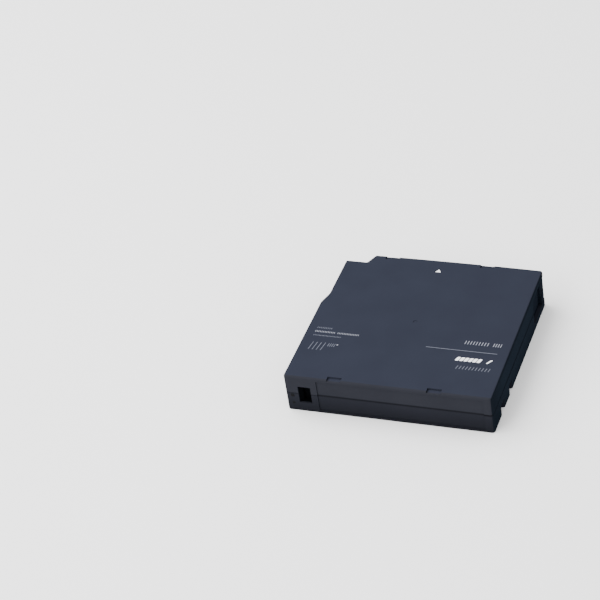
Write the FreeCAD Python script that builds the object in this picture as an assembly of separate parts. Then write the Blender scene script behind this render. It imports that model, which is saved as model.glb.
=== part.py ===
import FreeCAD, Part
import math
import os

from FreeCAD import Vector

# Single-reel data tape cartridge for half-inch tape. All lengths are in millimetres.
# The origin is the middle of the bottom face. +Y is the way the cartridge goes into a drive,
# +Z is up towards the labelled top, and +X is the side that carries the tape door.

# ---------------------------------------------------------------- driving dimensions

# Tape and reel
tape_width = 12.65
tape_slack = 0.35          # flange spacing less tape width
hub_radius = 22.0
hub_wall = 2.0
flange_radius = 48.2
pack_margin = 1.3          # flange edge to the outermost turn
lower_flange = 1.2
upper_flange = 1.1
hub_floor = 2.2
flange_register = 1.2      # how far the upper flange's ring drops into the hub
leader_thick = 0.2

# Room around the reel
reel_end_gap = 0.8
reel_side_gap = 2.5
reel_floor_gap = 1.2
reel_roof_gap = 1.0
seat_gap = 0.2             # what a resting piece keeps from its seat
glue_gap = 0.03            # what bonded or wound pieces keep from each other

# Case
wall = 2.0
floor_thick = 2.0
roof_thick = 2.0
split_height = 10.9
corner_round = 1.5
step_round = 0.8
top_round = 0.9
bottom_bevel = 0.3
split_chamfer = 0.25
front_bow = 0.4            # how far the front wall bulges
guide_width = 16.6         # insertion guide step, measured from the left side
guide_depth = 6.4
guide_slant = 2.9
side_inset = 2.3           # the left side's narrow front stretch
inset_start = 35.0         # its rear end, measured from the front
inset_ramp = 7.5
lip_height = 0.8
lip_thick = 0.9
lip_gap = 0.1

# Top face
pocket_width = 7.2         # four shallow stacking pockets at the front and rear edges
pocket_depth = 0.9
pocket_length = 3.0
pocket_left = -26.6
pocket_right = 24.0
arrow_width = 3.8
arrow_length = 3.0
arrow_from_front = 6.9
arrow_depth = 0.25
gate_radius = 1.1
gate_depth = 0.2

# Rear face
label_from_left = 16.7
label_from_right = 4.5
label_bottom = 1.5
label_top = 19.6
label_depth = 0.45

# Drive clutch opening
opening_radius = 18.0
recess_radius = 19.6
recess_depth = 1.2
seat_ring_radius = 21.6

# Reel gear, brake gear and plate
gear_teeth = 60
brake_teeth = 36
gear_inner = 13.7
gear_outer = 16.8
gear_rim = 17.4
gear_tooth = 1.1
gear_base = 1.25           # width of a gear tooth at its root
gear_recess = 1.35         # height of the gear's tips above the bottom face
plate_radius = 12.6
plate_bore = 5.0
plate_thick = 0.8
pedestal_inner = 10.2
pedestal_outer = 13.4
pedestal_height = 2.0
pedestal_span = 72.0       # degrees that each of the three pedestals covers
brake_tooth = 0.9
brake_base = 1.5
mesh_gap = 0.15

# Brake and its release
release_stroke = 1.8
leg_count = 3
leg_circle = 15.25
leg_radius = 1.15
leg_hole_gap = 0.3
leg_recess = 0.35          # how far a leg's foot stays inside the gear's tips
spider_thick = 1.5
spider_hub = 6.5
spider_arm = 3.2
brake_radius = 13.8
brake_thick = 2.0
brake_boss_radius = 5.0
brake_boss_height = 6.4
brake_pip_radius = 2.6
key_length = 7.0           # cross key in the roof that stops the brake from turning
key_thick = 1.6
key_gap = 0.2
key_reach = 7.6
brake_spring_radius = 6.4
brake_wire = 0.4
brake_turns = 4.0
brake_coil_runs = 16
spring_collar = 1.0

# Tape door
window_front = 3.7         # front edge of the window, measured from the front
window_length = 17.8
window_sill = 3.6
window_lintel = 17.9
door_overlap = 1.2
door_thick = 1.4
door_gap = 0.2
door_groove = 0.8
door_travel = 15.5
door_tab_length = 1.7
door_tab_height = 4.0
channel_depth = 0.5        # shallow channel in the side wall that leads to the door's tab
channel_sill = 4.2
channel_top = 18.6
door_spring_radius = 1.0
door_wire = 0.16
door_turns = 10.0
door_coil_runs = 10
door_spring_length = 24.0
door_spring_height = 8.0
door_peg_radius = 0.55
door_peg_length = 2.0
anchor_thick = 1.5

# Leader pin
pin_from_side = 7.1        # pin axis from the outer face of the door side
pin_from_front = 11.5
pin_shaft = 1.25
pin_head = 2.1
pin_head_thick = 1.0
pin_collar = 1.9
pin_collar_thick = 0.5
pin_pad = 0.6
pin_end_gap = 0.15
cradle_wall = 1.0
cradle_height = 1.5
clamp_outer = 2.0
clamp_gap = 0.08
clamp_mouth = 1.1
clip_sheet = 0.3
clip_arm = 1.1             # height of the retaining clip's arms
clip_width = 4.6
clip_back_gap = 0.25

# Write-protect switch
lock_from_side = 6.8       # left side to the window's near edge
lock_width = 6.5
lock_bottom = 5.4
lock_top = 15.3
lock_wall = 1.0            # rear wall left over the switch
lock_depth = 6.0
lock_length = 10.9
lock_gap = 0.3
lock_travel = 3.0
lock_pocket_width = 4.5
lock_pocket_depth = 3.2
lock_relief = 1.5
lock_ramp = 1.5
lock_rail_thick = 1.0
lock_rail_height = 3.0
lock_room_left = 0.1
sense_length = 8.0
sense_width = 2.4

# Cartridge memory
board_length = 19.0
board_width = 9.5
board_thick = 0.8
board_end_gap = 2.2        # board's end to the side wall
board_gap = 0.15
gusset_thick = 1.2
chip_side = 3.2
chip_thick = 0.7

# Case screws
screw_rear_x = 9.2         # the two rear screws, from the sides
screw_rear_y = 14.0        # and from the rear
screw_left_x = 8.7         # the front left screw, from the side
screw_left_y = 14.0        # and from the front
screw_right_x = 15.2       # the front right screw, from the side
screw_right_y = 7.6        # and from the front
boss_radius = 3.2
screw_shank = 1.2
screw_head = 2.3
screw_head_height = 1.5
screw_length = 12.5
screw_hole_gap = 0.2
screw_seat = 3.0           # height of the head's seat above the bottom face
screw_head_gap = 0.3
driver_slot = 0.7
driver_depth = 0.9

# Grip notches and locating holes
notch_depth = 3.2
notch_height = 6.0
notch_rear = 13.3          # rear notch's rear wall from the rear face
notch_rear_length = 6.3
notch_front = 28.8
notch_front_length = 5.2
notch_slant = 1.0
locator_radius = 2.5
locator_depth = 4.6
locator_from_side = 6.4
locator_from_rear = 24.3
locator_slot = 3.4         # how much longer than wide the second locating hole is
locator_wall = 0.8

# Curved guard ribs round the reel
guard_gap = 1.0
guard_thick = 1.0
guard_height = 3.6

# ---------------------------------------------------------------- derived places

half_width = flange_radius + reel_side_gap + wall
half_length = flange_radius + reel_end_gap + wall
flange_spacing = tape_width + tape_slack
z_floor = floor_thick
z_flange = z_floor + reel_floor_gap
z_flange_top = z_flange + lower_flange
z_upper = z_flange_top + flange_spacing
z_upper_top = z_upper + upper_flange
z_roof = z_upper_top + reel_roof_gap
case_height = z_roof + roof_thick
z_tape = z_flange_top + tape_slack / 2
pack_radius = flange_radius - pack_margin

z_gear_root = gear_recess + gear_tooth
z_hub_floor = z_gear_root + hub_floor
z_pedestal = z_hub_floor + pedestal_height
z_spider = z_hub_floor + seat_gap
z_spider_top = z_spider + spider_thick
z_brake = z_pedestal + brake_tooth + mesh_gap
z_brake_top = z_brake + brake_thick

front_y = half_length - front_bow
inner_x = half_width - wall
inner_y = half_length - wall
inset_x = -half_width + side_inset
inset_y = half_length - inset_start
guide_x = -half_width + guide_width
guide_y = front_y - guide_depth

window_y1 = half_length - window_front
window_y0 = window_y1 - window_length
door_x1 = inner_x - door_gap
door_x0 = door_x1 - door_thick
door_y0 = window_y0 - door_overlap
door_y1 = window_y1 + door_overlap
door_z0 = z_floor - door_groove + door_gap
door_z1 = z_roof + door_groove - door_gap
door_spring_x = inner_x - door_gap - door_spring_radius - door_wire

pin_x = half_width - pin_from_side
pin_y = half_length - pin_from_front
pin_z0 = z_floor + pin_pad + pin_end_gap
pin_z1 = z_roof - pin_pad - pin_end_gap

lock_left = -half_width + lock_from_side
lock_right = lock_left + lock_width
lock_y0 = -half_length + lock_wall + lock_room_left
lock_y1 = lock_y0 + lock_depth
lock_x1 = lock_right + lock_gap + lock_travel
lock_x0 = lock_x1 - lock_length

board_x1 = inner_x - board_end_gap
board_x0 = board_x1 - board_length
board_drop = board_width / math.sqrt(2)

SCREWS = [
    (-half_width + screw_rear_x, -half_length + screw_rear_y),
    (half_width - screw_rear_x, -half_length + screw_rear_y),
    (-half_width + screw_left_x, half_length - screw_left_y),
    (half_width - screw_right_x, half_length - screw_right_y),
]


# ---------------------------------------------------------------- helpers

def box(x0, x1, y0, y1, z0, z1):
    return Part.makeBox(x1 - x0, y1 - y0, z1 - z0, Vector(x0, y0, z0))


def rod(x, y, z0, z1, radius):
    return Part.makeCylinder(radius, z1 - z0, Vector(x, y, z0))


def tube(x, y, z0, z1, inner, outer):
    return rod(x, y, z0, z1, outer).cut(rod(x, y, z0 - 1, z1 + 1, inner))


def sector(z0, z1, inner, outer, start, span):
    """Part of a ring round the reel's axis, from start degrees on through span degrees."""
    solid = Part.makeCylinder(outer, z1 - z0, Vector(0, 0, z0), Vector(0, 0, 1), span)
    solid.rotate(Vector(0, 0, 0), Vector(0, 0, 1), start)
    return solid.cut(rod(0, 0, z0 - 1, z1 + 1, inner))


def plate(points, z0, z1):
    """Flat plate over a closed outline of straight lines."""
    corners = [Vector(x, y, z0) for x, y in points]
    face = Part.Face(Part.makePolygon(corners + corners[:1]))
    return face.extrude(Vector(0, 0, z1 - z0))


def fused(first, *others):
    return first.multiFuse(list(others)).removeSplitter()


def turned(shape, degrees):
    copy = shape.copy()
    copy.rotate(Vector(0, 0, 0), Vector(0, 0, 1), degrees)
    return copy


def mirrored(shape):
    return shape.mirror(Vector(0, 0, 0), Vector(1, 0, 0))


def edges_at_height(solid, z):
    return [e for e in solid.Edges if all(abs(v.Z - z) < 1e-6 for v in e.Vertexes)]


def upright_edges(solid, x, y):
    """Vertical edges of a solid that stand at x, y."""
    return [
        e for e in solid.Edges
        if all(math.hypot(v.X - x, v.Y - y) < 1e-4 for v in e.Vertexes) and e.Length > 1
    ]


def export(name, shape):
    solids = shape.Solids
    kept = solids[0] if len(solids) == 1 else Part.makeCompound(solids)
    kept.exportStep("parts/" + name + ".step")


# ---------------------------------------------------------------- case outline

def case_face():
    """The case seen from above, with the guide step at the front left and the bowed front."""
    front_middle = Vector((half_width + guide_x) / 2, half_length, 0)
    corners = [
        Vector(guide_x, front_y, 0),
        Vector(guide_x - guide_slant, guide_y, 0),
        Vector(inset_x, guide_y, 0),
        Vector(inset_x, inset_y, 0),
        Vector(-half_width, inset_y - inset_ramp, 0),
        Vector(-half_width, -half_length, 0),
        Vector(half_width, -half_length, 0),
        Vector(half_width, front_y, 0),
    ]
    lines = [Part.makeLine(a, b) for a, b in zip(corners, corners[1:])]
    front = Part.Arc(corners[-1], front_middle, corners[0]).toShape()
    return Part.Face(Part.Wire(lines + [front]))


def case_block(z0, z1):
    """Solid block over the case outline, with its upright corners rounded."""
    block = case_face().extrude(Vector(0, 0, z1 - z0))
    block.translate(Vector(0, 0, z0))
    sharp = [(half_width, -half_length), (-half_width, -half_length), (half_width, front_y)]
    steps = [(inset_x, guide_y), (guide_x, front_y), (guide_x - guide_slant, guide_y)]
    for places, radius in ((sharp, corner_round), (steps, step_round)):
        for x, y in places:
            block = block.makeFillet(radius, upright_edges(block, x, y))
    return block


def inside(inset, z0, z1):
    """The case outline drawn in by inset, as a block."""
    face = case_face().makeOffset2D(-inset, 2)
    block = face.extrude(Vector(0, 0, z1 - z0))
    block.translate(Vector(0, 0, z0))
    return block


# ---------------------------------------------------------------- features both shells share

def notch(y_rear, length):
    """Grip notch in the door side's lower edge. Its front wall slants a little."""
    inner = half_width - notch_depth
    return plate(
        [
            (inner, y_rear),
            (half_width + 1, y_rear),
            (half_width + 1, y_rear + length + notch_slant),
            (half_width, y_rear + length),
            (inner, y_rear + length - notch_slant),
        ],
        -1,
        notch_height,
    )


def notches():
    rear = notch(-half_length + notch_rear, notch_rear_length)
    front = notch(-half_length + notch_front, notch_front_length)
    return [rear, front, mirrored(rear), mirrored(front)]


def notch_backs():
    """Material behind each notch, so that the wall goes round it."""
    backs = []
    for start, length in ((notch_rear, notch_rear_length), (notch_front, notch_front_length)):
        y0 = -half_length + start - wall / 2
        block = box(
            half_width - notch_depth - wall / 2,
            inner_x + wall / 2,
            y0,
            y0 + length + wall,
            floor_thick / 2,
            notch_height + wall / 2,
        )
        backs += [block, mirrored(block)]
    return backs


def door_window():
    return box(inner_x - 1, half_width + 1, window_y0, window_y1, window_sill, window_lintel)


def door_channel():
    """Shallow channel from the front face to the window, for the drive's door opener."""
    return box(
        half_width - channel_depth,
        half_width + 1,
        window_y0 - door_overlap,
        half_length + 1,
        channel_sill,
        channel_top,
    )


def door_grooves(z0, z1):
    """Room in a floor or roof for the door's edge, along the whole of its travel."""
    return box(
        door_x0 - door_gap,
        inner_x,
        door_y0 - door_travel - door_gap,
        door_y1 + door_gap,
        z0,
        z1,
    )


def lock_window():
    return box(lock_left, lock_right, -half_length - 1, -inner_y + 1, lock_bottom, lock_top)


def lock_room(z0, z1):
    """Thinner stretch of the rear wall, where the switch slides."""
    return box(
        lock_x0 - lock_travel - lock_gap,
        lock_x1 + lock_gap,
        -half_length + lock_wall,
        -inner_y + 0.5,
        z0,
        z1,
    )


def lock_rail(z0, z1):
    """Rib that keeps the switch against the rear wall."""
    y0 = lock_y1 + seat_gap
    return box(lock_x0 - lock_travel, lock_x1, y0, y0 + lock_rail_thick, z0, z1)


def label_panel():
    return box(
        -half_width + label_from_left,
        half_width - label_from_right,
        -half_length - 1,
        -half_length + label_depth,
        label_bottom,
        label_top,
    )


def cradle(z0, z1):
    """Horseshoe wall that stands round one end of the leader pin, open to the door."""
    inner = pin_head + seat_gap
    ring = tube(pin_x, pin_y, z0, z1, inner, inner + cradle_wall)
    mouth = box(
        pin_x,
        pin_x + inner + cradle_wall + 1,
        pin_y - inner - cradle_wall - 1,
        pin_y + inner + cradle_wall + 1,
        z0 - 1,
        z1 + 1,
    )
    return ring.cut(mouth)


def guards(z0, z1):
    """Curved ribs that keep dust off the reel, in the three corners that have room."""
    inner = flange_radius + guard_gap
    return [sector(z0, z1, inner, inner + guard_thick, start, 30) for start in (128, 202, 308)]


# ---------------------------------------------------------------- shells

def bottom_shell():
    shell = case_block(0, split_height)
    shell = shell.makeChamfer(bottom_bevel, edges_at_height(shell, 0))
    shell = shell.makeChamfer(split_chamfer, edges_at_height(shell, split_height))
    shell = shell.cut(inside(wall, z_floor, split_height + 1))

    lip_foot = split_height - lip_height
    lip = inside(wall - lip_thick, lip_foot, split_height + lip_height)
    lip = lip.cut(inside(wall, lip_foot - 1, split_height + lip_height + 1))
    lip = lip.cut(door_window())
    lip = lip.cut(lock_room(lip_foot, split_height + lip_height + 1))

    boss_top = split_height - lip_gap
    bosses = [rod(x, y, floor_thick / 2, boss_top, boss_radius) for x, y in SCREWS]
    seat = tube(0, 0, floor_thick / 2, z_flange - seat_gap, opening_radius, seat_ring_radius)
    locator_x = half_width - locator_from_side
    locator_y = -half_length + locator_from_rear
    cup_radius = locator_radius + locator_wall
    cup_top = locator_depth + locator_wall
    cups = [
        rod(-locator_x, locator_y, floor_thick / 2, cup_top, cup_radius),
        rod(locator_x - locator_slot / 2, locator_y, floor_thick / 2, cup_top, cup_radius),
        rod(locator_x + locator_slot / 2, locator_y, floor_thick / 2, cup_top, cup_radius),
    ]
    pad = rod(pin_x, pin_y, floor_thick / 2, z_floor + pin_pad, pin_head + seat_gap + cradle_wall)
    horseshoe = cradle(z_floor, z_floor + pin_pad + cradle_height)
    anchor_y = door_y0 - door_spring_length - 2 * door_wire
    anchor = box(
        door_x0 - door_gap,
        inner_x + wall / 2,
        anchor_y - anchor_thick,
        anchor_y,
        floor_thick / 2,
        door_spring_height + door_spring_radius + 1,
    )
    room = inside(wall / 2, floor_thick / 2, split_height)
    rail = lock_rail(floor_thick / 2, z_floor + lock_rail_height)
    added = bosses + cups + [seat, pad, horseshoe, anchor, rail] + notch_backs() + gussets()
    added += guards(floor_thick / 2, z_floor + guard_height)
    shell = fused(shell, lip, *[piece.common(room) for piece in added])

    cuts = notches() + [
        door_window(),
        door_channel(),
        door_grooves(door_z0 - door_gap, z_floor + 1),
        lock_window(),
        lock_room(z_floor + lock_gap, split_height + lip_height + 1),
        label_panel(),
        rod(0, 0, -1, floor_thick + reel_floor_gap, opening_radius),
        rod(0, 0, -1, recess_depth, recess_radius),
        rod(-locator_x, locator_y, -1, locator_depth, locator_radius),
        rod(locator_x - locator_slot / 2, locator_y, -1, locator_depth, locator_radius),
        rod(locator_x + locator_slot / 2, locator_y, -1, locator_depth, locator_radius),
        box(
            locator_x - locator_slot / 2,
            locator_x + locator_slot / 2,
            locator_y - locator_radius,
            locator_y + locator_radius,
            -1,
            locator_depth,
        ),
        sense_slot(),
    ]
    for x, y in SCREWS:
        cuts.append(rod(x, y, -1, screw_seat, screw_head + screw_head_gap))
        cuts.append(rod(x, y, 0, split_height + 1, screw_shank + screw_hole_gap))
    return shell.cut(Part.makeCompound(cuts)).removeSplitter()


def sense_slot():
    """Slot under the switch, where a drive feels whether writing is allowed."""
    middle_y = (lock_y0 + lock_y1) / 2
    return box(
        lock_left - lock_travel / 2,
        lock_left - lock_travel / 2 + sense_length,
        middle_y - sense_width / 2,
        middle_y + sense_width / 2,
        -1,
        z_floor + 1,
    )


def gussets():
    """Two sloped ribs that carry the memory board at 45 degrees in the rear corner."""
    foot = board_drop + board_gap
    made = []
    for x in (board_x0 + 1, board_x1 - 1 - gusset_thick):
        corners = [
            Vector(x, -inner_y - wall / 2, floor_thick / 2),
            Vector(x, -inner_y + foot + floor_thick / 2, floor_thick / 2),
            Vector(x, -inner_y - wall / 2, z_floor + foot + wall / 2),
        ]
        face = Part.Face(Part.makePolygon(corners + corners[:1]))
        made.append(face.extrude(Vector(gusset_thick, 0, 0)))
    return made


def top_shell():
    shell = case_block(split_height, case_height)
    shell = shell.makeFillet(top_round, edges_at_height(shell, case_height))
    shell = shell.makeChamfer(split_chamfer, edges_at_height(shell, split_height))
    shell = shell.cut(inside(wall, split_height - 1, z_roof))
    shell = shell.cut(inside(wall - lip_thick - lip_gap, split_height - 1,
                             split_height + lip_height + lip_gap))

    hidden = z_roof + roof_thick / 2
    bosses = [rod(x, y, split_height, hidden, boss_radius) for x, y in SCREWS]
    key_foot = z_roof - key_reach
    half_key = key_length / 2
    key = box(-half_key, half_key, -key_thick / 2, key_thick / 2, key_foot, hidden)
    key = key.fuse(turned(key, 90))
    collar = tube(
        0, 0, z_roof - spring_collar, hidden,
        brake_spring_radius + brake_wire + seat_gap,
        brake_spring_radius + brake_wire + seat_gap + wall / 2,
    )
    pad_radius = pin_head + seat_gap + cradle_wall
    pad = rod(pin_x, pin_y, z_roof - pin_pad, hidden, pad_radius)
    horseshoe = cradle(z_roof - pin_pad - cradle_height, z_roof)
    keeper = board_keeper(hidden)
    room = inside(wall / 2, split_height, hidden)
    rail = lock_rail(z_roof - lock_rail_height, hidden)
    added = bosses + [key, collar, pad, horseshoe, keeper, rail]
    added += guards(z_roof - guard_height, hidden)
    shell = fused(shell, *[piece.common(room) for piece in added])

    cuts = [
        door_window(),
        door_channel(),
        door_grooves(z_roof - 1, door_z1 + door_gap),
        lock_window(),
        lock_room(split_height - 1, z_roof - lock_gap),
        label_panel(),
        arrow(),
        rod(0, 0, case_height - gate_depth, case_height + 1, gate_radius),
    ]
    for x in (pocket_left, pocket_right):
        x0 = x - pocket_width / 2
        x1 = x + pocket_width / 2
        z0 = case_height - pocket_depth
        rear = -half_length
        cuts.append(box(x0, x1, rear - 1, rear + pocket_length, z0, case_height + 1))
        cuts.append(box(x0, x1, half_length - pocket_length, half_length + 1, z0, case_height + 1))
    pilot_top = screw_seat + screw_length + seat_gap
    for x, y in SCREWS:
        cuts.append(rod(x, y, split_height - 1, pilot_top, screw_shank + glue_gap))
    return shell.cut(Part.makeCompound(cuts)).removeSplitter()


def board_keeper(top):
    """Rib from the roof that holds the memory board down, with a 45 degree foot."""
    middle = (board_x0 + board_x1) / 2
    rear = -inner_y + board_thick * 2
    rise = z_floor + board_drop + board_gap * 2 + board_thick * math.sqrt(2)
    reach = board_drop * 0.6
    corners = [
        Vector(middle, rear, top),
        Vector(middle, rear, rise - (rear + inner_y) + board_gap * 2),
        Vector(middle, rear + reach, rise - (rear + inner_y) - reach + board_gap * 2),
        Vector(middle, rear + reach, top),
    ]
    face = Part.Face(Part.makePolygon(corners + corners[:1]))
    return face.extrude(Vector(gusset_thick, 0, 0))


def arrow():
    """Sunk triangle that points the way the cartridge goes in."""
    tip = half_length - arrow_from_front
    base = tip - arrow_length
    half = arrow_width / 2
    outline = [(-half, base), (half, base), (0, tip)]
    return plate(outline, case_height - arrow_depth, case_height + 1)


# ---------------------------------------------------------------- reel

def face_tooth(inner, outer, base, height, z, up):
    """One straight tooth along +X, its root at z and its tip up or down from there."""
    sink = 0.1
    sign = 1 if up else -1
    corners = [
        Vector(inner, -base / 2, z - sign * sink),
        Vector(inner, -base / 2, z),
        Vector(inner, 0, z + sign * height),
        Vector(inner, base / 2, z),
        Vector(inner, base / 2, z - sign * sink),
    ]
    face = Part.Face(Part.makePolygon(corners + corners[:1]))
    return face.extrude(Vector(outer - inner, 0, 0))


def tooth_ring(tooth, angles):
    return [turned(tooth, angle) for angle in angles]


def leg_places():
    step = 360.0 / leg_count
    return [(math.radians(step * n), step * n) for n in range(leg_count)]


def reel_hub():
    """Hub cup with the lower flange and both gears, moulded as one piece."""
    flange = tube(0, 0, z_flange, z_flange_top, hub_radius - hub_wall, flange_radius)
    cup = tube(0, 0, z_flange, z_upper, hub_radius - hub_wall, hub_radius)
    base = rod(0, 0, z_gear_root, z_hub_floor, gear_rim)
    web = rod(0, 0, z_flange, z_hub_floor, hub_radius - hub_wall / 2)
    rim_ring = tube(0, 0, gear_recess, z_gear_root + 0.1, gear_outer - 0.1, gear_rim)

    tooth = face_tooth(gear_inner, gear_outer, gear_base, gear_tooth, z_gear_root, False)
    teeth = tooth_ring(tooth, [360.0 / gear_teeth * n for n in range(gear_teeth)])

    pitch = 360.0 / brake_teeth
    half_gap = (360.0 / leg_count - pedestal_span) / 2
    pedestals = []
    inner_teeth = []
    small = face_tooth(
        pedestal_inner, pedestal_outer - 0.1, brake_base, brake_tooth, z_pedestal, True
    )
    for _, leg_angle in leg_places():
        start = leg_angle + half_gap
        pedestals.append(
            sector(z_hub_floor - 0.1, z_pedestal, pedestal_inner, pedestal_outer,
                   start, pedestal_span)
        )
        first = math.ceil((start + pitch / 3) / pitch)
        last = math.floor((start + pedestal_span - pitch / 3) / pitch)
        inner_teeth += tooth_ring(small, [pitch * n for n in range(first, last + 1)])
    hub = fused(flange, cup, base, web, rim_ring, *teeth, *pedestals, *inner_teeth)

    hole = leg_radius + leg_hole_gap
    cuts = [rod(0, 0, z_gear_root - 1, z_gear_root + plate_thick, plate_radius + glue_gap)]
    for angle, _ in leg_places():
        x = leg_circle * math.cos(angle)
        y = leg_circle * math.sin(angle)
        cuts.append(rod(x, y, 0, z_hub_floor + 1, hole))
    return hub.cut(Part.makeCompound(cuts)).removeSplitter()


def reel_plate():
    """Steel washer that a drive's magnet pulls on."""
    z0 = z_gear_root
    return tube(0, 0, z0, z0 + plate_thick - glue_gap, plate_bore, plate_radius)


def upper_reel_flange():
    disc = tube(0, 0, z_upper + glue_gap, z_upper_top, hub_radius - 2 * hub_wall, flange_radius)
    register_outer = hub_radius - hub_wall - seat_gap / 2
    register = tube(
        0, 0, z_upper - flange_register, z_upper + upper_flange / 2,
        hub_radius - 2 * hub_wall, register_outer,
    )
    return fused(disc, register)


def tape_pack():
    return tube(0, 0, z_tape, z_tape + tape_width, hub_radius + glue_gap, pack_radius)


# ---------------------------------------------------------------- brake

def release_spider():
    """Three-legged release: its feet come out through the reel gear and a drive lifts them."""
    parts = [rod(0, 0, z_spider, z_spider_top, spider_hub)]
    foot = gear_recess + leg_recess
    for angle, degrees in leg_places():
        arm = box(0, leg_circle, -spider_arm / 2, spider_arm / 2, z_spider, z_spider_top)
        parts.append(turned(arm, degrees))
        x = leg_circle * math.cos(angle)
        y = leg_circle * math.sin(angle)
        parts.append(rod(x, y, z_spider, z_spider_top, spider_arm / 2))
        parts.append(rod(x, y, foot, z_spider_top, leg_radius))
    return fused(*parts)


def brake_button():
    """Toothed brake that the spring holds down on the hub's inner gear."""
    disc = rod(0, 0, z_brake, z_brake_top, brake_radius)
    boss = rod(0, 0, z_brake_top - 0.5, z_brake_top + brake_boss_height, brake_boss_radius)
    pip = rod(0, 0, z_spider_top + seat_gap, z_brake + 0.5, brake_pip_radius)
    tooth = face_tooth(pedestal_inner, pedestal_outer, brake_base, brake_tooth, z_brake, False)
    pitch = 360.0 / brake_teeth
    teeth = tooth_ring(tooth, [pitch * (n + 0.5) for n in range(brake_teeth)])
    solid = fused(disc, boss, pip, *teeth)
    slot_foot = z_roof - key_reach - release_stroke - seat_gap
    half = key_length / 2 + key_gap
    side = key_thick / 2 + key_gap
    slot = box(-half, half, -side, side, slot_foot, z_brake_top + brake_boss_height + 1)
    return solid.cut(slot.fuse(turned(slot, 90))).removeSplitter()


def coil(radius, wire, length, turns, runs):
    """Coil spring on z = 0 round the Z axis: square wire, in so many short runs to a turn."""
    count = round(turns * runs)
    rise = (length - 2 * wire) / count
    turn = 2 * math.pi / runs
    points = [
        Vector(radius * math.cos(turn * n), radius * math.sin(turn * n), wire + rise * n)
        for n in range(count + 1)
    ]
    square = [(-wire, -wire), (wire, -wire), (wire, wire), (-wire, wire)]
    corners = [Vector(radius + x, 0, wire + z) for x, z in square]
    section = Part.makePolygon(corners + corners[:1])
    return Part.makePolygon(points).makePipeShell([section], True, False, 1)


def brake_spring():
    foot = z_brake_top + seat_gap / 2
    length = z_roof - seat_gap / 2 - foot
    spring = coil(brake_spring_radius, brake_wire, length, brake_turns, brake_coil_runs)
    spring.translate(Vector(0, 0, foot))
    return spring


# ---------------------------------------------------------------- tape door

def access_door():
    leaf = box(door_x0, door_x1, door_y0, door_y1, door_z0, door_z1)
    tab_y1 = window_y1 - 2 * door_gap
    tab = box(
        door_x1 - 0.5,
        half_width - channel_depth / 2,
        tab_y1 - door_tab_length,
        tab_y1,
        channel_sill,
        channel_sill + door_tab_height,
    )
    panel = box(
        door_x1 - 0.5,
        door_x1 + door_gap + wall / 2,
        window_y0 + door_travel + 2 * door_gap,
        tab_y1,
        window_sill + door_gap,
        window_lintel - door_gap,
    )
    peg = Part.makeCylinder(
        door_peg_radius,
        door_peg_length + 1,
        Vector(door_spring_x, door_y0 - door_peg_length, door_spring_height),
        Vector(0, 1, 0),
    )
    return fused(leaf, tab, panel, peg)


def door_spring():
    length = door_spring_length - seat_gap
    spring = coil(door_spring_radius, door_wire, length, door_turns, door_coil_runs)
    spring.rotate(Vector(0, 0, 0), Vector(1, 0, 0), 90)
    spring.translate(Vector(door_spring_x, door_y0 - seat_gap / 2, door_spring_height))
    return spring


# ---------------------------------------------------------------- leader pin

def leader_pin():
    z_low = z_tape - tape_slack / 2 - pin_collar_thick
    z_high = z_tape + tape_width + tape_slack / 2
    pieces = [
        rod(pin_x, pin_y, pin_z0, pin_z1, pin_shaft),
        rod(pin_x, pin_y, pin_z0, pin_z0 + pin_head_thick, pin_head),
        rod(pin_x, pin_y, pin_z1 - pin_head_thick, pin_z1, pin_head),
        rod(pin_x, pin_y, z_low, z_low + pin_collar_thick, pin_collar),
        rod(pin_x, pin_y, z_high, z_high + pin_collar_thick, pin_collar),
    ]
    return fused(*pieces)


def tape_clamp():
    """Sprung C that snaps over the pin and holds the end of the tape."""
    z0 = z_tape + tape_slack
    z1 = z_tape + tape_width - tape_slack
    sleeve = tube(pin_x, pin_y, z0, z1, pin_shaft + clamp_gap, clamp_outer)
    mouth = box(pin_x, pin_x + clamp_outer + 1, pin_y - clamp_mouth, pin_y + clamp_mouth,
                z0 - 1, z1 + 1)
    return sleeve.cut(mouth)


def leader_tape():
    """Free end of the tape, from the outermost turn to the pin's clamp."""
    middle = pack_radius + seat_gap / 2 + leader_thick / 2
    target_x = pin_x - clamp_outer - seat_gap - leader_thick / 2
    reach = math.hypot(target_x, pin_y)
    leave = math.atan2(pin_y, target_x) - math.acos(middle / reach)
    start = leave - math.radians(14)

    def at(radius, angle):
        return Vector(radius * math.cos(angle), radius * math.sin(angle), z_tape)

    tangent = Vector(-math.sin(leave), math.cos(leave), 0)
    run = math.sqrt(reach ** 2 - middle ** 2)
    inner = middle - leader_thick / 2
    outer = middle + leader_thick / 2
    halfway = (start + leave) / 2
    inner_end = at(inner, leave) + tangent * run
    outer_end = at(outer, leave) + tangent * run
    edges = [
        Part.Arc(at(inner, start), at(inner, halfway), at(inner, leave)).toShape(),
        Part.makeLine(at(inner, leave), inner_end),
        Part.makeLine(inner_end, outer_end),
        Part.makeLine(outer_end, at(outer, leave)),
        Part.Arc(at(outer, leave), at(outer, halfway), at(outer, start)).toShape(),
        Part.makeLine(at(outer, start), at(inner, start)),
    ]
    return Part.Face(Part.Wire(edges)).extrude(Vector(0, 0, tape_width))


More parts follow.
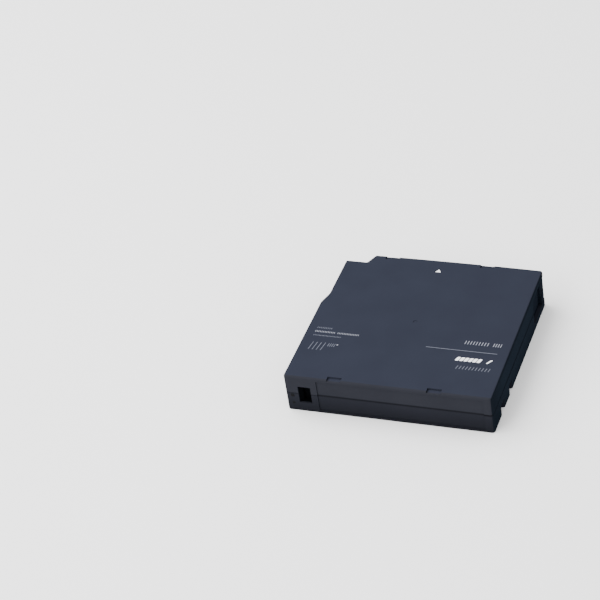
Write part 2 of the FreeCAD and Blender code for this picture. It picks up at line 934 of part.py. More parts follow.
def retaining_clip():
    """Leaf spring on the front wall whose two arms keep the pin's ends in their cradles."""
    back_y = inner_y - front_bow - clip_back_gap
    arm_x = pin_x + pin_head + seat_gap
    back = box(
        arm_x + clip_sheet - clip_width,
        arm_x + clip_sheet,
        back_y - clip_sheet,
        back_y,
        pin_z0,
        pin_z1,
    )
    relief = box(
        arm_x - clip_width,
        arm_x - clip_sheet,
        back_y - 2 * clip_sheet,
        back_y + clip_sheet,
        pin_z0 + 2 * clip_arm,
        pin_z1 - 2 * clip_arm,
    )
    back = back.cut(relief)
    arms = []
    for z0 in (pin_z0, pin_z1 - clip_arm):
        tip_y = pin_y - pin_head
        arm = plate(
            [
                (arm_x, back_y),
                (arm_x, pin_y - pin_head / 2),
                (arm_x - 2 * clip_sheet, tip_y - 2 * clip_sheet),
                (arm_x - clip_sheet, tip_y - 3 * clip_sheet),
                (arm_x + clip_sheet, pin_y - pin_head / 2),
                (arm_x + clip_sheet, back_y),
            ],
            z0,
            z0 + clip_arm,
        )
        arms.append(arm)
    return fused(back, *arms)


# ---------------------------------------------------------------- switch, memory, screws

def write_protect_switch():
    z0 = z_floor + lock_gap + seat_gap
    z1 = z_roof - lock_gap - seat_gap
    block = box(lock_x0, lock_x1, lock_y0, lock_y1, z0, z1)
    pocket_x1 = lock_right - 2 * seat_gap
    pocket_x0 = pocket_x1 - lock_pocket_width
    pocket_z0 = lock_bottom - seat_gap
    pocket_z1 = lock_top + seat_gap
    pocket_y1 = lock_y0 + lock_pocket_depth
    pocket = box(pocket_x0, pocket_x1, lock_y0 - 1, pocket_y1, pocket_z0, pocket_z1)
    ramp = plate(
        [
            (pocket_x0 - lock_ramp, lock_y0),
            (pocket_x0 - lock_ramp, lock_y0 - 1),
            (pocket_x0 + 0.1, lock_y0 - 1),
            (pocket_x0 + 0.1, lock_y0 + lock_ramp),
        ],
        pocket_z0,
        pocket_z1,
    )
    relief = box(
        lock_x0 + wall,
        lock_x1 - wall,
        lock_y1 - lock_relief,
        lock_y1 + 1,
        z0 + wall,
        z1 - wall,
    )
    foot = box(
        lock_x1 - wall * 2,
        lock_x1 - wall,
        (lock_y0 + lock_y1) / 2 - sense_width / 3,
        (lock_y0 + lock_y1) / 2 + sense_width / 3,
        z_floor + seat_gap,
        z0 + 0.5,
    )
    return fused(block.cut(pocket).cut(ramp).cut(relief), foot)


def on_the_slope(shape):
    """Tips a piece drawn flat on z = 0 back to 45 degrees, face down towards the rear corner."""
    shape.rotate(Vector(0, 0, 0), Vector(1, 0, 0), -45)
    lift = board_gap * math.sqrt(2)
    shape.translate(Vector(0, -inner_y + lift / 2, z_floor + board_drop + lift / 2))
    return shape


def memory_board():
    return on_the_slope(box(board_x0, board_x1, 0, board_width, 0, board_thick))


def memory_chip():
    middle_x = (board_x0 + board_x1) / 2 - chip_side * 1.5
    middle_y = board_width / 2
    half = chip_side / 2
    flat = box(
        middle_x - half, middle_x + half, middle_y - half, middle_y + half,
        board_thick, board_thick + chip_thick,
    )
    return on_the_slope(flat)


def case_screws():
    made = []
    half = driver_slot / 2
    for x, y in SCREWS:
        z_head = screw_seat - screw_head_height
        head = rod(x, y, z_head, screw_seat, screw_head)
        shank = rod(x, y, screw_seat - 0.2, screw_seat + screw_length, screw_shank)
        blade = box(-screw_head * 0.7, screw_head * 0.7, -half, half,
                    z_head - 1, z_head + driver_depth)
        cross = blade.fuse(turned(blade, 90))
        cross.translate(Vector(x, y, 0))
        made.append(fused(head, shank).cut(cross))
    return Part.makeCompound(made)


# ---------------------------------------------------------------- export

PIECES = {
    "bottom_shell": bottom_shell,
    "top_shell": top_shell,
    "case_screws": case_screws,
    "access_door": access_door,
    "door_spring": door_spring,
    "leader_pin": leader_pin,
    "tape_clamp": tape_clamp,
    "leader_tape": leader_tape,
    "retaining_clip": retaining_clip,
    "write_protect_switch": write_protect_switch,
    "memory_board": memory_board,
    "memory_chip": memory_chip,
    "reel_hub": reel_hub,
    "reel_plate": reel_plate,
    "upper_flange": upper_reel_flange,
    "tape_pack": tape_pack,
    "release_spider": release_spider,
    "brake_button": brake_button,
    "brake_spring": brake_spring,
}

os.makedirs("parts", exist_ok=True)
for piece_name, make in PIECES.items():
    export(piece_name, make())
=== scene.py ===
import math

import bpy
from mathutils import Matrix, Vector


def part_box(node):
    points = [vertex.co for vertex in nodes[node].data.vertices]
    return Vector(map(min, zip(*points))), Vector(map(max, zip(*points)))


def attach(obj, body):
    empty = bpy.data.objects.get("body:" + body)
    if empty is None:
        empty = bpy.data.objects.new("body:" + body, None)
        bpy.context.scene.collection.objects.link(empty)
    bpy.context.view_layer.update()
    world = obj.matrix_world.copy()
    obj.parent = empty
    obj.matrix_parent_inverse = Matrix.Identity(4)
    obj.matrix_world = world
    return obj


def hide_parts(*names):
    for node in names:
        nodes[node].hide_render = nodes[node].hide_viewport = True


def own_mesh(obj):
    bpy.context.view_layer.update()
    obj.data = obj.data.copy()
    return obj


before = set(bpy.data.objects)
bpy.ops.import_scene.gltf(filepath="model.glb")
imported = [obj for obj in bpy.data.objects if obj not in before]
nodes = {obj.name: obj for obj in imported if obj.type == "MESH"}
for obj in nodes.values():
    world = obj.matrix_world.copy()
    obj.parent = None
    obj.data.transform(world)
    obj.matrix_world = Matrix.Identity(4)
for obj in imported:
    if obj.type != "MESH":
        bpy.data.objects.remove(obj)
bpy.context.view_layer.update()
mm = 0.001

lowCorner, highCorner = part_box("bottom_shell")[0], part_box("top_shell")[1]
topZ = highCorner.z
rearY = lowCorner.y
print("frame loaded:", len(nodes), "nodes")


# small helpers for modelling

def freshStart():
    if bpy.context.object and bpy.context.object.mode != "OBJECT":
        bpy.ops.object.mode_set(mode="OBJECT")
    bpy.ops.object.select_all(action="DESELECT")


def pickOnly(piece):
    freshStart()
    bpy.context.view_layer.objects.active = piece
    piece.select_set(True)


def named(name):
    piece = bpy.context.object
    piece.name = name
    piece.data.name = name
    return piece


def settle(piece):                       # puts the place, turn and size of a piece into its mesh
    pickOnly(piece)
    bpy.ops.object.transform_apply(location=True, rotation=True, scale=True)
    return piece


def withModifier(piece, kind, **settings):
    pickOnly(piece)
    bpy.ops.object.modifier_add(type=kind)
    modifier = piece.modifiers[-1]
    for name, value in settings.items():
        setattr(modifier, name, value)
    bpy.ops.object.modifier_apply(modifier=modifier.name)


def joined(pieces, name):
    freshStart()
    for piece in pieces:
        piece.select_set(True)
    bpy.context.view_layer.objects.active = pieces[0]
    bpy.ops.object.join()
    return named(name)


def wear(piece, material, body):   # gives a piece its finish and its body
    piece.data.materials.clear()
    piece.data.materials.append(material)
    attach(piece, body)


class Shade:                             # a shader socket that takes part in plain sums
    def __init__(self, owner, socket=None):
        self.owner = owner               # the material or world that holds the nodes
        self.socket = socket

    def node(self, kind, settings=None, inputs=None, out=0):
        tree = self.owner.node_tree
        made = tree.nodes.new("ShaderNode" + kind)
        for name, value in (settings or {}).items():
            setattr(made, name, value)
        for name, value in (inputs or {}).items():
            if isinstance(value, Shade):
                tree.links.new(value.socket, made.inputs[name])
            else:
                made.inputs[name].default_value = value
        return Shade(self.owner, made.outputs[out])

    def maths(self, operation, first, second):
        return self.node("Math", {"operation": operation}, {0: first, 1: second})

    def size(self):                      # without its sign
        return self.maths("ABSOLUTE", self, 0.0)

    def __add__(self, other):
        return self.maths("ADD", self, other)

    __radd__ = __add__

    def __mul__(self, other):
        return self.maths("MULTIPLY", self, other)

    __rmul__ = __mul__

    def __sub__(self, other):
        return self.maths("SUBTRACT", self, other)

    def __rsub__(self, other):
        return self.maths("SUBTRACT", other, self)

    def __truediv__(self, other):
        return self.maths("DIVIDE", self, other)

    def __gt__(self, other):
        return self.maths("GREATER_THAN", self, other)

    def __lt__(self, other):
        return self.maths("LESS_THAN", self, other)

    def __pow__(self, other):
        return self.maths("POWER", self, other)


def linear(red, green, blue):            # colour as seen on a screen, 0 to 255
    def one(value):
        value /= 255
        return value / 12.92 if value <= 0.04045 else ((value + 0.055) / 1.055) ** 2.4
    return one(red), one(green), one(blue)


def newMaterial(name, **constants):
    material = bpy.data.materials.new(name)
    material.use_nodes = True
    shader = material.node_tree.nodes["Principled BSDF"]
    for socket, value in constants.items():
        shader.inputs[socket.replace("_", " ")].default_value = value
    return material, Shade(material), shader


def feed(material, shader, **links):
    for socket, value in links.items():
        material.node_tree.links.new(value.socket, shader.inputs[socket.replace("_", " ")])


def place(shade):
    return shade.node("TexCoord", out="Object")


def noise(shade, where, scale, detail=2.0, roughness=0.5):
    return shade.node("TexNoise", {}, {"Vector": where, "Scale": scale, "Detail": detail,
                                       "Roughness": roughness})


def bumpOf(shade, strength, depth, height):
    return shade.node("Bump", {}, {"Strength": strength, "Distance": depth, "Height": height})


mixSlots = {"first": 6, "second": 7, "result": 2}   # the colour sockets of a Mix node, by number


def blendOf(shade, factor, first, second):          # the two ends are colours, or sockets that carry one
    ends = [end if isinstance(end, Shade) else (*end, 1) for end in (first, second)]
    inputs = {"Factor": factor, mixSlots["first"]: ends[0], mixSlots["second"]: ends[1]}
    return shade.node("Mix", {"data_type": "RGBA"}, inputs, mixSlots["result"])


# spark-textured plastic of the shells, the door and the switch
look = {
    "topColour": ((33, 35, 44), (40, 43, 53)),      # darker and paler patches of the top shell
    # painted shade: the lower shell, on its faces and its rear face, is darker than the top shell of the same
    # plastic
    "baseColour": ((25, 27, 34), (31, 33, 41)),
    "shadedSideColour": ((20, 25, 32), (25, 31, 39)),     # painted shade: the long sides are darker, as if in shade
    "topRear": ((33, 34, 39), (40, 41, 47)),        # the rear face of each shell
    "baseRear": ((28, 29, 34), (34, 35, 41)),
    # painted shade: the door is as dark as the shaded sides
    "doorColour": ((18, 22, 29), (23, 28, 36)),
    # painted shadow: the switch is near black for the shade inside its window
    "switchColour": ((4, 5, 7), (8, 9, 11)),
    "paintedShadeColour": (8, 9, 11),                       # painted shade: the colour of the seam and the other dark lines
    "sideFacing": 0.6,                              # how squarely a side faces left or right
    "faceDepth": 0.0009,                            # how deep the rear colour reaches
    "rimDrop": 0.0007,                              # painted shade: a darker line under the upper edge of a side
    "rimWidth": 0.0014,
    "rimDepth": 0.5,
    "endLong": 0.024,                               # how far the painted shade at the rear end of a side reaches
    "endDepth": 0.4,
    "patchScale": 55.0,                             # cloudy patches to the metre
    "patchDetail": 3.0,
    "patchTone": 0.6,                               # how much the patches and the grains each colour it
    "sparkTone": 0.4,
    "patchRub": 0.08,                               # and how much each roughens it
    "sparkRub": 0.16,
    "rubMiddle": 0.12,                              # what the two add on average
    "sparkScale": 4200.0,                           # grains to the metre
    "sparkDetail": 2.0,
    "sparkCoarse": 0.7,
    "sparkBump": 0.3,
    "seamHeight": 0.0109,                           # where the two shells meet
    "seamWidth": 0.0008,
    "seamDepth": 0.8,                               # how much painted shade darkens the seam
    "seamHidden": 0.7,                              # how much of it is lost beside the switch
    "ledgeHeight": 0.0019,                          # painted shade along the lower rim of the label place
    "ledgeLeft": -0.0362,
    "ledgeDepth": 0.45,
    "footHeight": 0.0105,                           # painted shade: the rear face darkens from here down to the foot
    "footDepth": 0.42,
}


def slotsOf(shade, where):
    parts = shade.node("SeparateXYZ", {}, {"Vector": where})
    return [Shade(shade.owner, parts.socket.node.outputs[n]) for n in range(3)]


def closeTo(value, line, width):                    # 1 on the line, falling to 0 at the width
    near = 1.0 - (value - line).size() / width
    return near.maths("MAXIMUM", near, 0.0)


# a shell also has the colours of its rear face, and with them painted shade: darker sides, a dark seam, dark
# lines and a darker foot
def sparkPlastic(name, colours, rough, depth, rear=None):
    material, shade, shader = newMaterial(name, Specular_IOR_Level=0.0)
    where = place(shade)
    x, y, z = slotsOf(shade, where)
    patches = noise(shade, where, look["patchScale"], look["patchDetail"])
    speckle = noise(shade, where, look["sparkScale"], look["sparkDetail"], look["sparkCoarse"])
    tone = patches * look["patchTone"] + speckle * look["sparkTone"]
    plain = blendOf(shade, tone, linear(*colours[0]), linear(*colours[1]))
    if rear:
        behind = y < rearY + look["faceDepth"]
        label = blendOf(shade, tone, linear(*rear[0]), linear(*rear[1]))
        plain = blendOf(shade, behind, plain, label)
        # painted shade: faces that point left or right take the darker side colour
        side = blendOf(shade, tone, *[linear(*colour) for colour in look["shadedSideColour"]])
        facing = slotsOf(shade, shade.node("TexCoord", out="Normal"))
        sideways = facing[0].size() > look["sideFacing"]
        plain = blendOf(shade, sideways, plain, side)
        # painted shade: a dark line under the top edge of each side and a darker rear end
        rim = closeTo(z, topZ - look["rimDrop"], look["rimWidth"]) * look["rimDepth"]
        end = closeTo(y, rearY, look["endLong"]) * look["endDepth"]
        # painted shade along the ledge at the foot of the label place
        ledge = closeTo(z, look["ledgeHeight"], look["seamWidth"]) * (x > look["ledgeLeft"])
        ledge = ledge * look["ledgeDepth"]
        # painted shade: the rear face darkens towards the foot
        foot = (1.0 - z / look["footHeight"]) * look["footDepth"]
        paintedShade = foot.maths("MAXIMUM", foot, ledge) * behind
        paintedShade = paintedShade.maths("MAXIMUM", paintedShade, rim.maths("MAXIMUM", rim, end) * sideways)
        # painted shade in the seam where the shells meet, with less of it beside the switch
        hidden = behind * (x < look["ledgeLeft"]) * look["seamHidden"]
        seam = closeTo(z, look["seamHeight"], look["seamWidth"]) * (1.0 - hidden) * look["seamDepth"]
        # painted shade: the seam and the dark lines blend the colour towards the dark shade colour
        plain = blendOf(shade, seam.maths("MAXIMUM", seam, paintedShade), plain, linear(*look["paintedShadeColour"]))
    rubbed = speckle * look["sparkRub"] + patches * look["patchRub"]
    feed(material, shader,
         Base_Color=plain,
         Roughness=rubbed + (rough - look["rubMiddle"]),
         Normal=bumpOf(shade, look["sparkBump"], depth, speckle))
    return material


moulded = {                                         # smooth plastic of the small inner pieces
    "shine": 0.5,
    "flowScale": 90.0,                              # slow clouds where the plastic flowed
    "flowDetail": 2.0,
    "fineScale": 2600.0,                            # the mould's own fine surface
    "fineDetail": 1.0,
    "deeper": 0.86,                                 # the darker end of the colour
    "flowRub": 0.1,
    "fineRub": 0.08,
    "rubMiddle": 0.09,
    "bump": 0.12,
    "bumpDepth": 0.00002,
}


def smoothPlastic(name, colour, rough):
    material, shade, shader = newMaterial(name, Specular_IOR_Level=moulded["shine"])
    where = place(shade)
    flow = noise(shade, where, moulded["flowScale"], moulded["flowDetail"])
    fine = noise(shade, where, moulded["fineScale"], moulded["fineDetail"])
    deeper = tuple(c * moulded["deeper"] for c in linear(*colour))
    rubbed = flow * moulded["flowRub"] + fine * moulded["fineRub"]
    feed(material, shader,
         Base_Color=blendOf(shade, flow, deeper, linear(*colour)),
         Roughness=rubbed + (rough - moulded["rubMiddle"]),
         Normal=bumpOf(shade, moulded["bump"], moulded["bumpDepth"], fine))
    return material


steel = {                                           # bare metal with fine turned rings
    "reelCentre": (0.0, 0.0),
    "pinCentre": (0.0456, 0.0395),                  # where the leader pin stands
    "ringScale": 9000.0,
    "ringDetail": 2.0,
    "smudgeScale": 160.0,
    "smudgeDetail": 3.0,
    "duller": 0.78,
    "ringRub": 0.14,
    "smudgeRub": 0.14,
    "rubMiddle": 0.12,
    "bump": 0.15,
    "bumpDepth": 0.00001,
}


def turnedSteel(name, colour, rough, centre=steel["reelCentre"]):
    material, shade, shader = newMaterial(name, Metallic=1.0)
    where = place(shade)
    x, y, z = slotsOf(shade, where)
    radius = ((x - centre[0]) * (x - centre[0]) + (y - centre[1]) * (y - centre[1])) ** 0.5
    along = shade.node("CombineXYZ", {}, {0: radius, 2: z})
    rings = noise(shade, along, steel["ringScale"], steel["ringDetail"])
    smudge = noise(shade, where, steel["smudgeScale"], steel["smudgeDetail"])
    duller = tuple(c * steel["duller"] for c in linear(*colour))
    rubbed = rings * steel["ringRub"] + smudge * steel["smudgeRub"]
    feed(material, shader,
         Base_Color=blendOf(shade, smudge, duller, linear(*colour)),
         Roughness=rubbed + (rough - steel["rubMiddle"]),
         Normal=bumpOf(shade, steel["bump"], steel["bumpDepth"], rings))
    return material


film = {                                            # edges of the wound film, banded where it stepped
    "colours": ((24, 19, 18), (56, 45, 40)),
    "shine": 0.6,
    "turnScale": 6500.0,
    "turnDetail": 1.0,
    "bandScale": 420.0,
    "bandDetail": 3.0,
    "share": 0.5,                                   # turns and bands colour it alike
    "bandRub": 0.2,
    "turnRub": 0.1,
    "smoothest": 0.14,
    "bump": 0.2,
    "bumpDepth": 0.00003,
}


def woundTape(name):
    material, shade, shader = newMaterial(name, Specular_IOR_Level=film["shine"])
    x, y, z = slotsOf(shade, place(shade))
    radius = (x * x + y * y) ** 0.5
    along = shade.node("CombineXYZ", {}, {0: radius})
    turns = noise(shade, along, film["turnScale"], film["turnDetail"])
    bands = noise(shade, along, film["bandScale"], film["bandDetail"])
    tone = turns * film["share"] + bands * film["share"]
    dark, pale = [linear(*colour) for colour in film["colours"]]
    feed(material, shader,
         Base_Color=blendOf(shade, tone, dark, pale),
         Roughness=bands * film["bandRub"] + turns * film["turnRub"] + film["smoothest"],
         Normal=bumpOf(shade, film["bump"], film["bumpDepth"], tone))
    return material


board = {                                           # green lacquer over a flat copper coil
    "colours": ((16, 70, 42), (52, 118, 64)),
    "shine": 0.5,
    "coat": 0.3,
    "tracks": 62.0,                                 # how close the coil's tracks lie
    "trackEdge": 0.1,
    "inner": 0.42,                                  # where the coil starts and ends, from middle to edge
    "outer": 0.93,
    "weaveScale": 2400.0,
    "weaveDetail": 1.0,
    "weaveRub": 0.2,
    "smoothest": 0.28,
    "bump": 0.3,
    "bumpDepth": 0.00003,
}


def boardLaminate(name):
    material, shade, shader = newMaterial(name, Specular_IOR_Level=board["shine"], Coat_Weight=board["coat"])
    where = place(shade)
    low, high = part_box("memory_board")
    centre = (low + high) / 2
    x, y, z = slotsOf(shade, where)
    across = (x - centre.x).size() / ((high.x - low.x) / 2)
    upward = ((y - centre.y) - (z - centre.z)).size() / (high.y - low.y)
    reach = across.maths("MAXIMUM", across * 2.0 - 1.0, upward)     # the board is about twice as wide as high
    wave = shade.maths("SINE", reach * board["tracks"], 0.0)
    track = (wave > board["trackEdge"]) * (reach > board["inner"]) * (reach < board["outer"])
    weave = noise(shade, where, board["weaveScale"], board["weaveDetail"])
    lacquer, copper = [linear(*colour) for colour in board["colours"]]
    feed(material, shader,
         Base_Color=blendOf(shade, track, lacquer, copper),
         Roughness=weave * board["weaveRub"] + board["smoothest"],
         Normal=bumpOf(shade, board["bump"], board["bumpDepth"], track))
    return material


inkLook = {                                         # thin printed ink with a little grain
    "shine": 0.05,
    "grainScale": 3200.0,
    "grainDetail": 2.0,
    "grainCoarse": 0.8,
    "grainRub": 0.2,
    "smoothest": 0.5,
    "bump": 0.2,
    "bumpDepth": 0.00001,
}


def printInk(name, dark, pale):
    material, shade, shader = newMaterial(name, Specular_IOR_Level=inkLook["shine"])
    grain = noise(shade, place(shade), inkLook["grainScale"], inkLook["grainDetail"], inkLook["grainCoarse"])
    feed(material, shader,
         Base_Color=blendOf(shade, grain, linear(*dark), linear(*pale)),
         Roughness=grain * inkLook["grainRub"] + inkLook["smoothest"],
         Normal=bumpOf(shade, inkLook["bump"], inkLook["bumpDepth"], grain))
    return material


# every finish: its own name, its colour or colours, and its roughness; a spark texture has its depth too
finish = {
    "case": sparkPlastic("caseSlate", look["topColour"], 0.5, 0.00004, look["topRear"]),
    "base": sparkPlastic("baseSlate", look["baseColour"], 0.52, 0.00004, look["baseRear"]),
    "door": sparkPlastic("doorSlate", look["doorColour"], 0.42, 0.00003),
    "switch": sparkPlastic("switchPaintedShadow", look["switchColour"], 0.45, 0.00003),
    "hub": smoothPlastic("hubWhite", (222, 223, 218), 0.38),
    "release": smoothPlastic("releaseGrey", (176, 181, 184), 0.36),
    "brake": smoothPlastic("brakeIvory", (208, 205, 194), 0.36),
    "clamp": smoothPlastic("clampDark", (46, 46, 50), 0.35),
    "chip": smoothPlastic("chipBlack", (24, 24, 26), 0.45),
    "tape": woundTape("woundTape"),
    "board": boardLaminate("boardGreen"),
    "plate": turnedSteel("plateSteel", (196, 199, 203), 0.32),
    "pin": turnedSteel("pinSteel", (206, 208, 212), 0.22, steel["pinCentre"]),
    "spring": turnedSteel("springSteel", (190, 193, 198), 0.3),
    "screw": turnedSteel("screwZinc", (150, 153, 160), 0.36),
    "ink": printInk("printPale", (120, 122, 131), (146, 148, 157)),
    "faintInk": printInk("printGrey", (84, 87, 97), (106, 109, 119)),
    "whiteInk": printInk("printWhite", (214, 216, 220), (244, 245, 247)),
    "mark": printInk("markDark", (6, 6, 8), (10, 10, 12)),
}
print("finishes made:", len(finish))


nodeFinish = {                           # every CAD node and its finish; two coils replace the springs below
    "access_door": "door",
    "leader_pin": "pin",
    "tape_clamp": "clamp",
    "leader_tape": "tape",
    "retaining_clip": "spring",
    "write_protect_switch": "switch",
    "memory_board": "board",
    "memory_chip": "chip",
    "reel_hub": "hub",
    "reel_plate": "plate",
    "upper_flange": "hub",
    "tape_pack": "tape",
    "release_spider": "release",
    "brake_button": "brake",
    "case_screws": "screw",
    "top_shell": "case",
    "bottom_shell": "base",
    "door_spring": "spring",
    "brake_spring": "spring",
}

for nodeName, finishName in nodeFinish.items():
    node = nodes[nodeName]
    node.data.materials.clear()
    node.data.materials.append(finish[finishName])
print("nodes finished:", len(nodeFinish))


sameSpot = 1e-7                          # corners nearer than this are one
flatEnough = 1e-6                        # an edge that climbs less than this lies flat


def picked(piece, kind, test):           # leaves edit mode on, with what passes the test selected
    pickOnly(piece)
    bpy.ops.object.mode_set(mode="EDIT")
    bpy.ops.mesh.select_mode(type=kind)
    bpy.ops.mesh.select_all(action="DESELECT")
    bpy.ops.object.mode_set(mode="OBJECT")
    mesh = piece.data
    spots = [corner.co for corner in mesh.vertices]
    if kind == "FACE":
        for face in mesh.polygons:
            face.select = test(face.center, face.normal)
    elif kind == "EDGE":
        for edge in mesh.edges:
            edge.select = test(*(spots[n] for n in edge.vertices))
    else:
        for corner in mesh.vertices:
            corner.select = test(corner.co)
    bpy.ops.object.mode_set(mode="EDIT")


def objectMode():
    bpy.ops.object.mode_set(mode="OBJECT")


def tidied(piece):                       # merges doubles and turns the faces outwards
    pickOnly(piece)
    bpy.ops.object.mode_set(mode="EDIT")
    bpy.ops.mesh.select_all(action="SELECT")
    bpy.ops.mesh.remove_doubles(threshold=sameSpot)
    bpy.ops.mesh.normals_make_consistent(inside=False)
    objectMode()


def raised(piece, height):               # pulls a flat outline up to a thin slab
    picked(piece, "FACE", lambda centre, normal: True)
    bpy.ops.mesh.extrude_region_move(TRANSFORM_OT_translate={"value": (0, 0, height)})
    objectMode()
    tidied(piece)


def roundCorners(piece, offset, segments):    # bevels the upright edges of a slab
    picked(piece, "EDGE", lambda a, b: abs(a.z - b.z) > flatEnough)
    bpy.ops.mesh.bevel(offset=offset, segments=segments, affect="EDGES")
    objectMode()


# printing on the top: an arrow in its sunk place, and plain bars that say nothing
printing = {
    "thick": 0.02 * mm,
    "arrowFloor": topZ - 0.25 * mm,
    "arrowWidth": 3.1 * mm,
    "arrowBase": 41.3 * mm,
    "arrowTip": 43.7 * mm,
    "strokeCorner": 0.25,                # a stroke's rounding, as a share of its smaller size
    "strokeSteps": 2,
}
bars = {
    # each row in mm: left end, right end, middle, height, slant, a stroke's width, and how many strokes
    "fine": [(-47.4, -39.9, -12.0, 1.1, 0.0, 0.26, 9),
             (-47.6, -33.5, -18.0, 0.8, 0.0, 0.25, 20),
             (-47.0, -40.4, -26.2, 6.0, 1.0, 0.26, 4),
             (-38.0, -34.6, -24.5, 2.4, 0.4, 0.26, 4),
             (10.8, 46.9, -18.0, 0.3, 0.0, 36.1, 1),
             (29.6, 46.0, -30.6, 2.4, 0.6, 0.32, 11)],
    "plain": [(-47.6, -37.4, -15.0, 1.2, 0.0, 0.28, 13),
              (-35.9, -24.9, -15.0, 1.2, 0.0, 0.28, 14),
              (-33.6, -32.8, -23.9, 0.7, 0.0, 0.8, 1),
              (29.0, 40.6, -11.6, 2.6, 0.3, 0.32, 9),
              (43.3, 47.2, -11.6, 2.6, 0.3, 0.32, 4)],
    "bold": [(27.6, 40.1, -24.4, 2.8, 0.9, 1.7, 6),
             (43.2, 44.3, -24.4, 2.8, 1.9, 1.0, 1)],
}
barInks = {"fine": "faintInk", "plain": "ink", "bold": "whiteInk"}


def makeArrow():
    spec = printing
    long = spec["arrowTip"] - spec["arrowBase"]
    freshStart()
    bpy.ops.mesh.primitive_circle_add(vertices=3, radius=1, fill_type="NGON",
                                      location=(0, spec["arrowBase"] + long / 3, spec["arrowFloor"]))
    arrow = named("arrowPaint")
    arrow.scale = (spec["arrowWidth"] / math.sqrt(3), long / 1.5, 1)    # it starts root 3 wide and 1.5 high
    settle(arrow)
    raised(arrow, spec["thick"])
    wear(arrow, finish["whiteInk"], "case")


def makeRow(left, right, middle, tall, slant, stroke, count):
    freshStart()
    bpy.ops.mesh.primitive_plane_add(size=1, location=((left + stroke / 2) * mm, middle * mm, topZ))
    row = bpy.context.object
    row.scale = (stroke * mm, tall * mm, 1)
    settle(row)
    picked(row, "VERT", lambda spot: spot.y > middle * mm)
    bpy.ops.transform.translate(value=(slant * mm, 0, 0))
    objectMode()
    raised(row, printing["thick"])
    roundCorners(row, min(tall, stroke) * printing["strokeCorner"] * mm, printing["strokeSteps"])
    if count > 1:
        pitch = (right - left - stroke) / (count - 1) * mm
        withModifier(row, "ARRAY", count=count, use_relative_offset=False, use_constant_offset=True,
                     constant_offset_displace=(pitch, 0, 0))
    return row


def makeBars():
    for kind, ink in barInks.items():
        rows = [makeRow(*spec) for spec in bars[kind]]
        wear(joined(rows, kind + "Bars"), finish[ink], "case")


makeArrow()
makeBars()
print("printing made")


# write-protect marks on the rear face: a closed padlock and the way it slides
lockMark = {
    "middle": (-49.1 * mm, 9.4 * mm),        # across and up
    "bodyWide": 1.9 * mm,
    "bodyTall": 1.4 * mm,
    "corner": 0.25 * mm,
    "cornerSteps": 3,
    "shackle": 0.55 * mm,
    "shackleTall": 1.35,                     # how much higher than a half circle
    "shackleRounds": 24,                     # steps round the whole circle, and round the bar
    "barSides": 8,
    "bar": 0.13 * mm,
    "thick": 0.03 * mm,
    "slideSize": 1.1 * mm,
    "slideUp": 4.9 * mm,
}


def onRear(piece, across, up):               # stands a mark drawn flat up on the rear face
    piece.rotation_euler = (math.radians(90), 0, 0)
    piece.location = (across, rearY, up)
    settle(piece)


def makeLockMark():
    spec = lockMark
    across, up = spec["middle"]
    freshStart()
    bpy.ops.mesh.primitive_plane_add(size=1)
    body = bpy.context.object
    body.scale = (spec["bodyWide"], spec["bodyTall"], 1)
    settle(body)
    raised(body, spec["thick"])
    roundCorners(body, spec["corner"], spec["cornerSteps"])
    onRear(body, across, up)

    freshStart()
    bpy.ops.mesh.primitive_torus_add(major_radius=spec["shackle"], minor_radius=spec["bar"],
                                     major_segments=spec["shackleRounds"], minor_segments=spec["barSides"])
    shackle = bpy.context.object
    picked(shackle, "FACE", lambda centre, normal: True)
    bpy.ops.mesh.bisect(plane_co=(0, 0, 0), plane_no=(0, -1, 0), clear_outer=True, use_fill=True)
    bpy.ops.mesh.select_all(action="SELECT")
    bpy.ops.transform.resize(value=(1, spec["shackleTall"], spec["thick"] / spec["bar"]))
    objectMode()
    onRear(shackle, across, up + spec["bodyTall"] / 2)

    freshStart()
    bpy.ops.mesh.primitive_circle_add(vertices=3, radius=spec["slideSize"], fill_type="NGON",
                                      rotation=(0, 0, math.radians(-90)))
    way = settle(bpy.context.object)
    raised(way, spec["thick"])
    onRear(way, across, spec["slideUp"])
    wear(joined([body, shackle, way], "lockMark"), finish["mark"], "case")


makeLockMark()
print("marks made")


# coil springs of round wire
coilSmooth = math.radians(60)                # edges flatter than this are shaded smooth
doorCoil = {
    "node": "door_spring",
    "radius": 1.0 * mm,
    "wire": 0.15 * mm,
    "turns": 20,
    "rounds": 16,                            # steps to a turn
    "sides": 8,
    "lean": (math.radians(90), 0, 0),        # from upright to lying along Y
    "joint": "door_slide",
    "axis": (0, 1, 0),
    "keep": 0.35,
}
brakeCoil = {
    "node": "brake_spring",
    "radius": 6.4 * mm,
    "wire": 0.4 * mm,
    "turns": 4,
    "rounds": 40,
    "sides": 10,
    "lean": (0, 0, 0),
    "joint": "brake_lift",
    "axis": (0, 0, 1),
    "keep": 0.81,
}


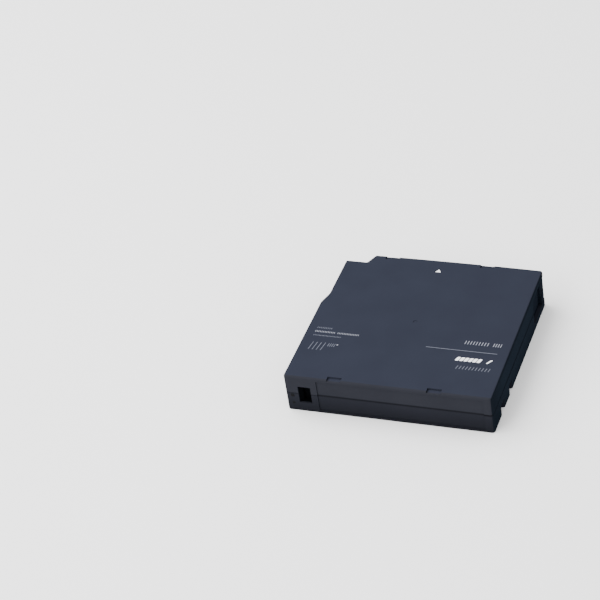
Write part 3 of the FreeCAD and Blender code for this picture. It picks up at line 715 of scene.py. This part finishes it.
def makeCoil(spec, name):                    # an open helix between two flat rings, in its CAD node's place
    low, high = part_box(spec["node"])
    size = high - low
    lying = spec["axis"] == (0, 1, 0)
    length = size.y if lying else size.z
    wire = spec["wire"]
    radius = spec["radius"]
    steps = spec["turns"] * spec["rounds"]
    freshStart()
    bpy.ops.mesh.primitive_circle_add(vertices=spec["sides"], radius=wire,
                                      rotation=(math.radians(90), 0, 0), location=(radius, 0, wire))
    helix = settle(bpy.context.object)
    withModifier(helix, "SCREW", axis="Z", angle=2 * math.pi * spec["turns"],
                 screw_offset=length - 2 * wire, steps=steps, render_steps=steps)
    picked(helix, "VERT", lambda spot: True)
    bpy.ops.mesh.fill_holes(sides=spec["sides"])
    objectMode()
    rings = []
    for height in (wire, length - wire):
        freshStart()
        bpy.ops.mesh.primitive_torus_add(major_radius=radius, minor_radius=wire, location=(0, 0, height),
                                         major_segments=spec["rounds"], minor_segments=spec["sides"])
        rings.append(settle(bpy.context.object))
    coil = joined([helix] + rings, name)
    tidied(coil)
    coil.rotation_euler = spec["lean"]
    middle = (low + high) / 2
    coil.location = (middle.x, high.y, middle.z) if lying else (middle.x, middle.y, low.z)
    settle(coil)
    bpy.ops.object.shade_smooth_by_angle(angle=coilSmooth)
    wear(coil, finish["spring"], "case")
    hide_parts(spec["node"])
    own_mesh(coil)


makeCoil(doorCoil, "doorCoil")
makeCoil(brakeCoil, "brakeCoil")
print("coils made")


caseMiddle = Vector((0, 0, topZ / 2))        # where the camera and the lamps are aimed
view = {
    "azimuth": 24.677,                       # the angles are in degrees
    "elevation": 37.032,
    "roll": -9.638,
    "distance": 1.09445,
    "across": -0.05866,                      # how far the camera stands off its aim, sideways and up
    "upward": 0.01929,
    "lens": 131.327,
    "sensor": 36.0,
    "nearest": 0.05,                         # what lies nearer or further isn't shown
    "furthest": 20,
}


def makeCamera():
    around, above, roll = (math.radians(view[k]) for k in ("azimuth", "elevation", "roll"))
    back = Vector((math.sin(around) * math.cos(above),
                   -math.cos(around) * math.cos(above),
                   math.sin(above)))
    level = Vector((0, 0, 1)).cross(back).normalized()
    upright = back.cross(level)
    right = math.cos(roll) * level + math.sin(roll) * upright
    up = -math.sin(roll) * level + math.cos(roll) * upright
    spot = caseMiddle + back * view["distance"] + right * view["across"] + up * view["upward"]
    freshStart()
    bpy.ops.object.camera_add()
    camera = bpy.context.object
    camera.matrix_world = Matrix.Translation(spot) @ Matrix((right, up, back)).transposed().to_4x4()
    camera.data.lens = view["lens"]
    camera.data.sensor_width = view["sensor"]
    camera.data.clip_start = view["nearest"]
    camera.data.clip_end = view["furthest"]
    bpy.context.scene.camera = camera


room = {
    "floorSize": 6.0,
    "floorColours": ((244, 244, 244), (249, 249, 250)),
    "floorPatches": 3.0,                     # faint clouds to the metre
    "floorRough": 0.6,
    "floorShine": 0.1,
    "sky": 0.75,                             # strength of the sky
    "fromAbove": 1.5,                        # how much of the light comes from there
    "fromLeft": 0.6,
    "allRound": 0.8,
    "brightSide": (2.4, 2.4, 2.4),           # sky to the left and overhead
    "darkSide": (0.01, 0.01, 0.012),         # sky to the right
}
softLights = {                               # place and size in metres, power in watts
    "keyLight": {"spot": (-0.75, 0.05, 1.0), "size": 1.2, "power": 25.0},
    "rearLight": {"spot": (-0.45, -0.9, 0.75), "size": 0.6, "power": 9.0},
}


def makeSky():
    world = bpy.data.worlds.new("studioSky")
    world.use_nodes = True
    sky = Shade(world)
    x, y, z = slotsOf(sky, sky.node("TexCoord", out="Generated"))
    share = z * room["fromAbove"] - x * room["fromLeft"] + room["allRound"]
    colour = blendOf(sky, share, room["darkSide"], room["brightSide"])
    backdrop = world.node_tree.nodes["Background"]
    world.node_tree.links.new(colour.socket, backdrop.inputs["Color"])
    backdrop.inputs["Strength"].default_value = room["sky"]
    bpy.context.scene.world = world


def makeRoom():
    freshStart()
    bpy.ops.mesh.primitive_plane_add(size=room["floorSize"], location=(0, 0, 0))
    floor = settle(named("studioFloor"))
    material, shade, shader = newMaterial("floorWhite", Roughness=room["floorRough"],
                                          Specular_IOR_Level=room["floorShine"])
    faint = noise(shade, place(shade), room["floorPatches"])
    pale = [linear(*colour) for colour in room["floorColours"]]
    feed(material, shader, Base_Color=blendOf(shade, faint, *pale))
    floor.data.materials.append(material)
    for name, spec in softLights.items():
        bpy.ops.object.light_add(type="AREA", location=spec["spot"])
        lamp = bpy.context.object
        lamp.name = name
        lamp.data.size = spec["size"]
        lamp.data.energy = spec["power"]
        aim = caseMiddle - Vector(spec["spot"])
        lamp.rotation_euler = aim.to_track_quat("-Z", "Y").to_euler()
    makeSky()


makeCamera()
makeRoom()
print("camera and room ready")
